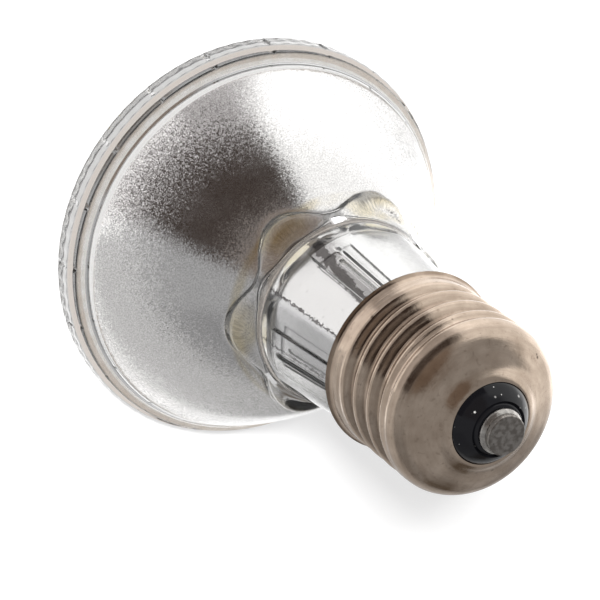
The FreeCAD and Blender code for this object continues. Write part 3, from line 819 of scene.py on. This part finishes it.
def lenslets(radii, angles):
    """Height of the small lenses on the plate, a hexagonal field of spherical bumps."""
    turns = np.radians(angles)
    x = radii * np.cos(turns)
    y = radii * np.sin(turns)
    sphere = (lenslet_radius ** 2 + lenslet_height ** 2) / (2 * lenslet_height)
    rise = np.zeros_like(radii)
    for column in range(-lenslet_rings, lenslet_rings + 1):
        for row in range(-lenslet_rings, lenslet_rings + 1):
            if abs(column + row) > lenslet_rings:
                continue
            across = lenslet_pitch * (column + row / 2)
            along = lenslet_pitch * row * math.sqrt(0.75)
            away = (x - across) ** 2 + (y - along) ** 2
            dome = np.sqrt(np.maximum(sphere ** 2 - away, 0.0)) - (sphere - lenslet_height)
            rise = np.maximum(rise, dome)
    return rise


def front_lens():
    """Pressed lens with its lenslets, edge cells and mould marks."""
    radii, heights, angles = spread(lens_section(), marked_angles(0.75))
    edge = ease((radii - (lens_radius - edge_skin)) / edge_skin_soft)
    edge = edge * ease(heights / edge_cell_fade) * ease((lens_edge_top - heights) / edge_cell_fade)
    cells = 0.5 + 0.5 * np.cos(np.radians(angles * edge_cells))
    radii = radii - edge * (lens_notch_share * notch(angles) + edge_cell_depth * cells ** 2)
    on_land = ease((radii - (lens_radius - lens_land_width + 0.2)) / 0.5)
    on_land = on_land * ease((lens_radius - lens_corner - radii) / 0.4)
    heights = heights + np.where(heights < 0.05, on_land * land_cell_depth * (1.0 - cells), 0.0)
    on_plate = (np.abs(heights - lens_plate_top) < 1e-6) & (radii < lenslet_reach)
    heights = heights + np.where(on_plate, lenslets(radii, angles), 0.0)
    piece = grid_mesh("lens_body", radii, heights, angles[0], False, [glass], sharp=50)
    stands_for(piece, "front_lens")


def seal_ring():
    """Clear cement between lens and reflector."""
    seal_top = rim_base - glass_gap
    inner = mouth_radius - 0.15
    outer = rim_radius - rim_corner - 0.1
    start = (inner, lens_edge_top + 0.125)
    section = rounded(
        [start, (inner, lens_edge_top), (outer, lens_edge_top), (outer, seal_top), (inner, seal_top), start],
        [0.05, 0.1, 0.1, 0.05], steps=4)
    piece = turned("seal_bead", section[:-1], [clear_cement()])
    stands_for(piece, "lens_seal")


def pad_rise(heights, angles):
    """How far the neck pads stand out at each place."""
    rise = np.zeros_like(heights)
    length = ease((heights - pad_start) / pad_corner) * ease((pad_end - heights) / pad_corner)
    grooved = ease((heights - pad_start - pad_groove_start) / pad_groove_run)
    for middle in pad_middles:
        away = np.abs(near_angle(angles, middle))
        flat = ease((pad_width_angle / 2 - away) / pad_side_angle)
        groove = ease((pad_groove_angle / 2 - away) / (pad_groove_angle / 2))
        rise = np.maximum(rise, length * flat * (pad_height - pad_groove_depth * groove * grooved))
    return rise


def rim_section():
    """Half section of the reflector's rim, from the mouth to the cone."""
    return rounded(
        [(mouth_radius, rim_base + 0.4), (mouth_radius, rim_base), (rim_radius, rim_base),
         (rim_radius, rim_top), glass_point(rim_top, glass_wall),
         glass_point(rim_top + shoulder_length, glass_wall)],
        [0.1, rim_corner, rim_corner + 0.05, 0.5])[:-1]


def outer_column(angle, neck_rows):
    """Outer half section of the reflector at one angle, from the cone's shoulder to the neck's end."""
    reach = collar_radius + collar_wave * math.cos(math.radians(collar_waves * (angle - collar_angle)))
    foot_radius = reach + collar_foot
    heights = np.linspace(rim_top + shoulder_length, throat_height, 160)
    radii, tops = np.array([glass_point(h, glass_wall) for h in heights]).T
    foot_height = float(np.interp(-foot_radius, -radii, tops))
    wall_height = float(np.interp(-reach, -radii, tops))
    wall_height = min(wall_height, collar_top - collar_slope - collar_edge - 0.2)
    start = float(np.interp(-foot_radius, -radii, heights))
    collar = rounded(
        [(foot_radius, foot_height), (reach, wall_height), (reach, collar_top - collar_slope),
         (neck_radius(collar_top) + 0.5, collar_top), (neck_radius(neck_foot), neck_foot)],
        [min(0.8, wall_height - foot_height + 0.3), collar_edge, 0.7], steps=9)
    cone = [glass_point(h, glass_wall) for h in np.linspace(heights[0], start, cone_rows)]
    return cone + collar[1:] + [(neck_radius(h), h) for h in neck_rows]


def inner_column():
    """Inner half section of the reflector, from the neck's end through the throat to the mouth."""
    outer, bore = neck_radius(neck_end), neck_bore(neck_end)
    end_round = (outer - bore) / 2
    points = arc(((outer + bore) / 2, neck_end - end_round), end_round, 0, 180, end_rows)
    points += [(neck_bore(h), h) for h in np.linspace(bore_top, neck_base + 0.3, 16)]
    bore = neck_bore(neck_base)
    throat, _ = glass_point(throat_height, 0.0)
    ledge = [(bore, neck_base), (bore, throat_height), (throat, throat_height)]
    points += rounded(ledge, [0.3], steps=4)[:-1]
    heights = [*np.linspace(throat_height, coat_start, coat_rows), rim_top + 0.3]
    points += [glass_point(h, 0.0) for h in heights]
    return points + [(mouth_radius, rim_top - 0.2)]


def reflector():
    """Pressed glass body, clear outside, with the mirror coat on its inner face."""
    pads = []
    for middle in pad_middles:
        side = pad_width_angle / 2
        pads += [(middle - side + 0.5, 1.0, 9), (middle + side - 0.5, 1.0, 9), (middle, 3.0, 11)]
    angles = marked_angles(1.25, pads)
    neck_rows = [height for start, end, step in (
        (neck_foot + 0.7, pad_start - 0.2, 0.9), (pad_start - 0.1, pad_start + 1.0, 0.11),
        (pad_start + 1.1, pad_start + 3.2, 0.3), (pad_start + 3.6, pad_end - 1.2, 1.6),
        (pad_end - 1.2, pad_end + 0.3, 0.3)) for height in np.arange(start, end, step)] + neck_end_rows
    columns = [rim_section() + outer_column(angle, neck_rows) for angle in angles]
    inner = inner_column()
    outer_count, count = len(columns[0]), len(columns[0]) + len(inner)
    row_material = [int(outer_count + end_rows <= row < count - clear_rows) for row in range(count)]
    whole = [column + inner for column in columns]
    radii, heights = (np.array([[point[k] for point in column] for column in whole]).T for k in (0, 1))
    places = np.broadcast_to(angles, radii.shape)
    outside = (np.arange(count) < outer_count)[:, None]
    radii = radii + np.where(outside & (heights > neck_foot), pad_rise(heights, places), 0.0)
    on_rim = outside & (heights > rim_base + 0.05) & (heights < rim_top - 0.05) & (radii > rim_radius - 0.4)
    radii = radii - np.where(on_rim, notch(places), 0.0)
    piece = grid_mesh("reflector_body", radii, heights, angles, True, [glass, coat], row_material, 50)
    stands_for(piece, "reflector_glass")


def cap_side(inset):
    """Half section of the cap's skin without its thread, from lip to hole."""
    flare = cap_lip_radius - crest_radius
    lip_arc = (flare ** 2 + cap_lip ** 2) / (2 * flare)
    sweep = math.degrees(math.asin(cap_lip / lip_arc))
    points = arc((crest_radius + lip_arc, cap_rim + cap_lip), lip_arc + inset, 180 + sweep, 180, 8)
    points += line(points[-1], (crest_radius - inset, shoulder_base), 90)
    middle = (crest_radius - shoulder_radius, shoulder_base)
    points += arc(middle, shoulder_radius - inset, 0, shoulder_sweep, 20)[1:]
    rolled = arc((hole_radius, hole_height - curl_radius), curl_radius - inset, shoulder_sweep, 90, 7)
    first, last = points[-1], rolled[0]
    square = np.array([last[1] - first[1], first[0] - last[0]]) / math.dist(first, last)
    for share in np.linspace(0.0, 1.0, 17)[1:]:
        dip = lip_hollow * math.sin(math.pi * share ** lip_hollow_skew) ** 2
        points.append(tuple(np.array(first) + (np.array(last) - np.array(first)) * share - square * dip))
    return points + rolled[1:]


def screw_cap():
    """Rolled cap with a true right-hand thread."""
    piece = turned("threaded_cap", cap_side(0.0) + cap_side(cap_wall)[::-1], [cap_metal], steps=240, sharp=50)
    shaped(piece, thread_tree(), {
        "Skin Radius": crest_radius, "Depth": thread_depth, "Pitch": thread_pitch,
        "Root Height": thread_root_height, "Root Angle": thread_root_angle,
        "Start": thread_start, "Full Start": thread_start + thread_fade_in,
        "Full End": thread_end - thread_fade_out, "End": thread_end})
    stands_for(piece, "cap_shell")


def inner_wall(height, angle):
    """Radius of the cap's inner wall at a height and an angle, thread and all."""
    phase = (height - thread_root_height) / thread_pitch - (angle - thread_root_angle) / 360.0
    fade = ease((height - thread_start) / thread_fade_in) * ease((thread_end - height) / thread_fade_out)
    return crest_radius - cap_wall - thread_depth * fade * (1 + math.cos(TURN * phase)) / 2


def pressed_to_wall(name, node, material):
    """A copy of a piece at the cap's inner wall, pressed flatter where the thread leaves less room."""
    straight = crest_radius - cap_wall
    work = bmesh.new()
    work.from_mesh(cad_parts[node].data)
    bmesh.ops.remove_doubles(work, verts=work.verts, dist=1e-6)
    for _ in range(press_rounds):
        coarse = [edge for edge in work.edges if edge.calc_length() > press_step * MM
                  and max(math.hypot(*vert.co.xy) for vert in edge.verts) > press_from * MM]
        bmesh.ops.subdivide_edges(work, edges=coarse, cuts=1)
        bmesh.ops.triangulate(work, faces=work.faces)
    for vert in work.verts:
        x, y, height = vert.co / MM
        reach = math.hypot(x, y)
        if reach > press_from:
            room = inner_wall(height, math.degrees(math.atan2(y, x))) - press_gap
            pressed = press_from + (reach - press_from) * (room - press_from) / (straight - press_from)
            vert.co.xy *= pressed / reach
    mesh = bpy.data.meshes.new(name)
    mesh.materials.append(material)
    stands_for(smooth_piece(name, work, mesh, 40), node)


def insulator():
    """Black glass with its cone."""
    throat = hole_radius - insulator_gap
    cone_base = hole_height - insulator_lap
    cone = []
    for share in np.linspace(0.0, 1.0, 14)[:-1]:
        bow = 4 * share * (1 - share) * insulator_bow
        cone.append((throat + (insulator_top_radius - throat) * share + bow,
                     cone_base + (insulator_top - cone_base) * share))
    gap = cap_wall + insulator_gap
    lift = math.degrees(math.asin((insulator_base - shoulder_base) / (shoulder_radius - gap)))
    middle = (crest_radius - shoulder_radius, shoulder_base)
    body = arc(middle, shoulder_radius - gap, lift, shoulder_sweep, 9)
    body += arc((hole_radius, hole_height - curl_radius), curl_radius - gap, shoulder_sweep, 90, 6)
    body += [(throat, hole_height - gap)] + cone
    rim = (insulator_top_radius - insulator_rim, insulator_top - insulator_rim)
    body += arc(rim, insulator_rim, 10, 90, 7)
    section = [(insulator_bore, insulator_base)] + body + [(insulator_bore, insulator_top)]
    piece = turned("black_insulator", section, [insulator_glass], steps=144, sharp=35)
    stands_for(piece, "cap_insulator")


def uneven(radii, angles):
    """The solder's radii, slightly uneven as soft metal is."""
    turns = np.radians(angles)
    wobble = np.sin(2 * turns + 1.0) + 0.6 * np.sin(3 * turns + 2.1) + 0.35 * np.sin(5 * turns + 0.7)
    return radii * (1 + solder_unevenness * wobble * ease(radii / solder_radius))


def contact_parts():
    """Contact rivet and its solder."""
    flange = insulator_top + contact_gap
    rivet = rounded(
        [(rivet_bore, insulator_base), (rivet_stem, insulator_base), (rivet_stem, flange),
         (contact_radius - rivet_edge, flange), (contact_radius, flange + rivet_flange),
         (solder_radius, solder_base), (rivet_bore, solder_base)],
        [0.1, 0.1, 0.2, 0.3, 0.05])
    piece = turned("contact_rivet", rivet, [solder], steps=96)
    stands_for(piece, "centre_contact")
    side = solder_radius - contact_gap
    button = rounded(
        [(on_axis, solder_base), (side, solder_base), (side, lamp_top), (on_axis, lamp_top)],
        [0.1, solder_corner])
    button = button[:-1] + line(button[-2], (on_axis, lamp_top), 8)
    piece = turned("solder_button", button, [solder], closed=False, steps=96, sharp=60, change=uneven)
    stands_for(piece, "contact_solder")


def wound_coil():
    """Enamelled wire wound on the inductor's drum, turn beside turn."""
    copper = plain_finish("copper_enamel", (0.55, 0.22, 0.09), 0.3, 1.0)
    low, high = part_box("inductor_winding")
    turns = round((high.y - low.y) / MM / coil_wire)
    wire = (high.y - low.y) / (turns + 1) / 2
    piece = placed("inductor_coil", bpy.data.meshes.new("inductor_coil"))
    shaped(piece, coil_tree(copper), {
        "Wire Radius": wire, "Coil Radius": (high.x - low.x) / 2 - wire,
        "Turns": turns, "Length": 2 * wire * turns,
        "X": (low.x + high.x) / 2, "Y": low.y + wire, "Z": (low.z + high.z) / 2})
    stands_for(piece, "inductor_winding")


def dress_inside():
    """Finishes of the pieces behind the lens and in the neck, and the wire and solder at the cap's wall."""
    finishes = {node: plain_finish(*values) for node, values in inner_finishes.items()}
    finishes.update(led_optic=glass, cap_cement=cement)
    for node, material in finishes.items():
        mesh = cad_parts[node].data
        mesh.materials.clear()
        mesh.materials.append(material)
    tinned = plain_finish("tinned_wire", (0.68, 0.67, 0.64), 0.3, 1.0)
    pressed_to_wall("wire_to_shell", "shell_lead", tinned)
    pressed_to_wall("solder_at_shell", "shell_solder", solder)


front_lens()
seal_ring()
reflector()
screw_cap()
insulator()
contact_parts()
wound_coil()
dress_inside()


# Studio

floor_reach = 1.5
floor_glow = 0.5
floor_glow_in_gloss = 0.85
floor_bright_share = 0.6
floor_sheet_share = 0.75
# Sides of the floor: middle, half width and softness round the lamp
floor_dim_side = (-102.0, 41.0, 4.0)
floor_lit_side = (158.0, 58.0, 10.0)
floor_bright_side = (125.0, 20.0, 6.0)
floor_sheet_side = (-82.5, 28.5, 0.6)
floor_lit_radius = 42.0
floor_sheet_reach = 92.0
floor_seen = (0.60, 0.60, 0.60)
floor_in_gloss = (0.43, 0.43, 0.43)
floor_dim_in_gloss = (0.31, 0.30, 0.30)
# Parts of the studio's walls: middle, half width and softness round the lamp, lowest and highest rise
# and their softness, and the colour
wall_sectors = (
    (158.0, 58.0, 11.0, -90.0, 34.0, 8.0, (1.18, 1.18, 1.17)),
    (20.0, 42.0, 6.0, -40.0, 30.0, 8.0, (0.31, 0.31, 0.315)),
    (50.0, 11.0, 5.0, -11.0, 18.0, 5.0, (0.14, 0.12, 0.10)),
    (-98.0, 36.0, 8.0, 24.0, 74.0, 10.0, (0.24, 0.195, 0.165)),
    (-102.0, 41.0, 3.0, -8.0, 24.0, 5.0, (0.060, 0.046, 0.040)),
)
wall_tone = (0.41, 0.41, 0.415)
# The soft box: direction, distance and size in metres, and power in watts
box_azimuth = -101.0
box_elevation = 49.0
box_distance = 0.9
box_size = 0.14
box_power = 12.0
box_aim = (0.0, 0.0, 0.03)
camera_lens = 168.0
camera_sensor = 36.0
camera_tilt = 36.93
camera_azimuth = -90.6
camera_roll = 128.21
camera_place = (0.194, -250.975, 355.172)


def around_share(turn, middle, half, soft):
    """Mask of a sector round the lamp."""
    away = maths("MODULO", plus(minus(turn, middle), 540.0), 360.0)
    return ramp(maths("ABSOLUTE", minus(away, 180.0)), half - soft, half + soft, 1.0, 0.0)


def studio_floor():
    """White floor that keeps the lamp's shadow; gloss and glass see its lit and dim sides."""
    mesh = bpy.data.meshes.new("studio_floor")
    low = -glass_gap * MM
    corners = [(x * floor_reach, y * floor_reach, low) for x, y in ((-1, -1), (1, -1), (1, 1), (-1, 1))]
    mesh.from_pydata(corners, [], [(0, 1, 2, 3)])
    material = bpy.data.materials.new("white_floor")
    material.use_nodes = True
    tree = material.node_tree
    tree.nodes.clear()
    rays = add(tree, "ShaderNodeLightPath").outputs
    place = add(tree, "ShaderNodeTexCoord").outputs["Object"]
    turn = turn_nodes(place)
    away = vectors("LENGTH", place)
    bright = times(around_share(turn, *floor_bright_side), floor_bright_share)
    close = ramp(away, floor_lit_radius * MM, 1.2 * floor_lit_radius * MM, 1.0, 0.0)
    sheet = times(around_share(turn, *floor_sheet_side),
                  ramp(away, floor_sheet_reach * MM, 1.1 * floor_sheet_reach * MM, 1.0, 0.0))
    lit = larger(larger(around_share(turn, *floor_lit_side), close), times(sheet, floor_sheet_share))
    mirrored = larger(rays["Is Glossy Ray"], rays["Is Transmission Ray"])
    in_gloss = times(mirrored, times(times(lit, floor_glow_in_gloss), plus(bright, 1.0)))
    in_view = times(rays["Is Camera Ray"], floor_glow)
    seen_in_gloss = blend(around_share(turn, *floor_dim_side), floor_in_gloss, floor_dim_in_gloss)
    colour = blend(rays["Is Camera Ray"], seen_in_gloss, floor_seen)
    strength = larger(in_view, in_gloss)
    paint = add(tree, "ShaderNodeBsdfDiffuse", {"Color": colour})
    glow = add(tree, "ShaderNodeEmission", {"Color": (1.0, 1.0, 1.0, 1.0), "Strength": strength})
    both = add(tree, "ShaderNodeAddShader", {0: paint.outputs[0], 1: glow.outputs[0]})
    add(tree, "ShaderNodeOutputMaterial", {"Surface": both.outputs[0]})
    mesh.materials.append(material)
    placed("studio_floor", mesh)


def studio_walls():
    """World: a grey studio with a white side wall and a dark side behind the camera."""
    world = bpy.data.worlds.new("studio_walls")
    bpy.context.scene.world = world
    world.use_nodes = True
    way = add(world.node_tree, "ShaderNodeTexCoord").outputs["Generated"]
    turn = turn_nodes(way)
    rise = times(maths("ARCSINE", parts(way)["Z"]), DEGREE)
    tone = wall_tone
    for middle, half, soft, low, high, fade, colour in wall_sectors:
        mask = times(around_share(turn, middle, half, soft), between(rise, low, high, fade))
        tone = blend(mask, tone, colour)
    set_inputs(world.node_tree.nodes["Background"], {"Color": tone, "Strength": 1.0})


def towards(azimuth, elevation):
    """Unit vector by azimuth from +X and elevation."""
    a, e = math.radians(azimuth), math.radians(elevation)
    return Vector((math.cos(a) * math.cos(e), math.sin(a) * math.cos(e), math.sin(e)))


def soft_box():
    """A square soft box that faces the lamp and shows in neither gloss nor glass."""
    data = bpy.data.lights.new("shadow_box", "AREA")
    data.shape = "SQUARE"
    data.size = box_size
    data.energy = box_power
    lamp = placed("shadow_box", data)
    away = towards(box_azimuth, box_elevation) * box_distance
    lamp.location = Vector(box_aim) + away
    lamp.rotation_mode = "QUATERNION"
    lamp.rotation_quaternion = away.to_track_quat("Z", "Y")
    lamp.visible_glossy = False
    lamp.visible_transmission = False


def camera():
    """The camera of the photograph."""
    data = bpy.data.cameras.new("photo_camera")
    data.lens = camera_lens
    data.sensor_width = camera_sensor
    data.clip_start = 0.01
    data.clip_end = 10.0
    back = towards(camera_azimuth, 90.0 - camera_tilt)
    level = towards(camera_azimuth + 90.0, 0.0)
    roll = math.radians(camera_roll)
    right = level * math.cos(roll) + back.cross(level) * math.sin(roll)
    turn = Matrix((right, back.cross(right), back)).transposed().to_4x4()
    eye = placed("photo_camera", data)
    eye.matrix_world = Matrix.Translation(Vector(camera_place) * MM) @ turn
    bpy.context.scene.camera = eye


studio_floor()
studio_walls()
soft_box()
camera()
bpy.context.scene.view_settings.view_transform = "Standard"
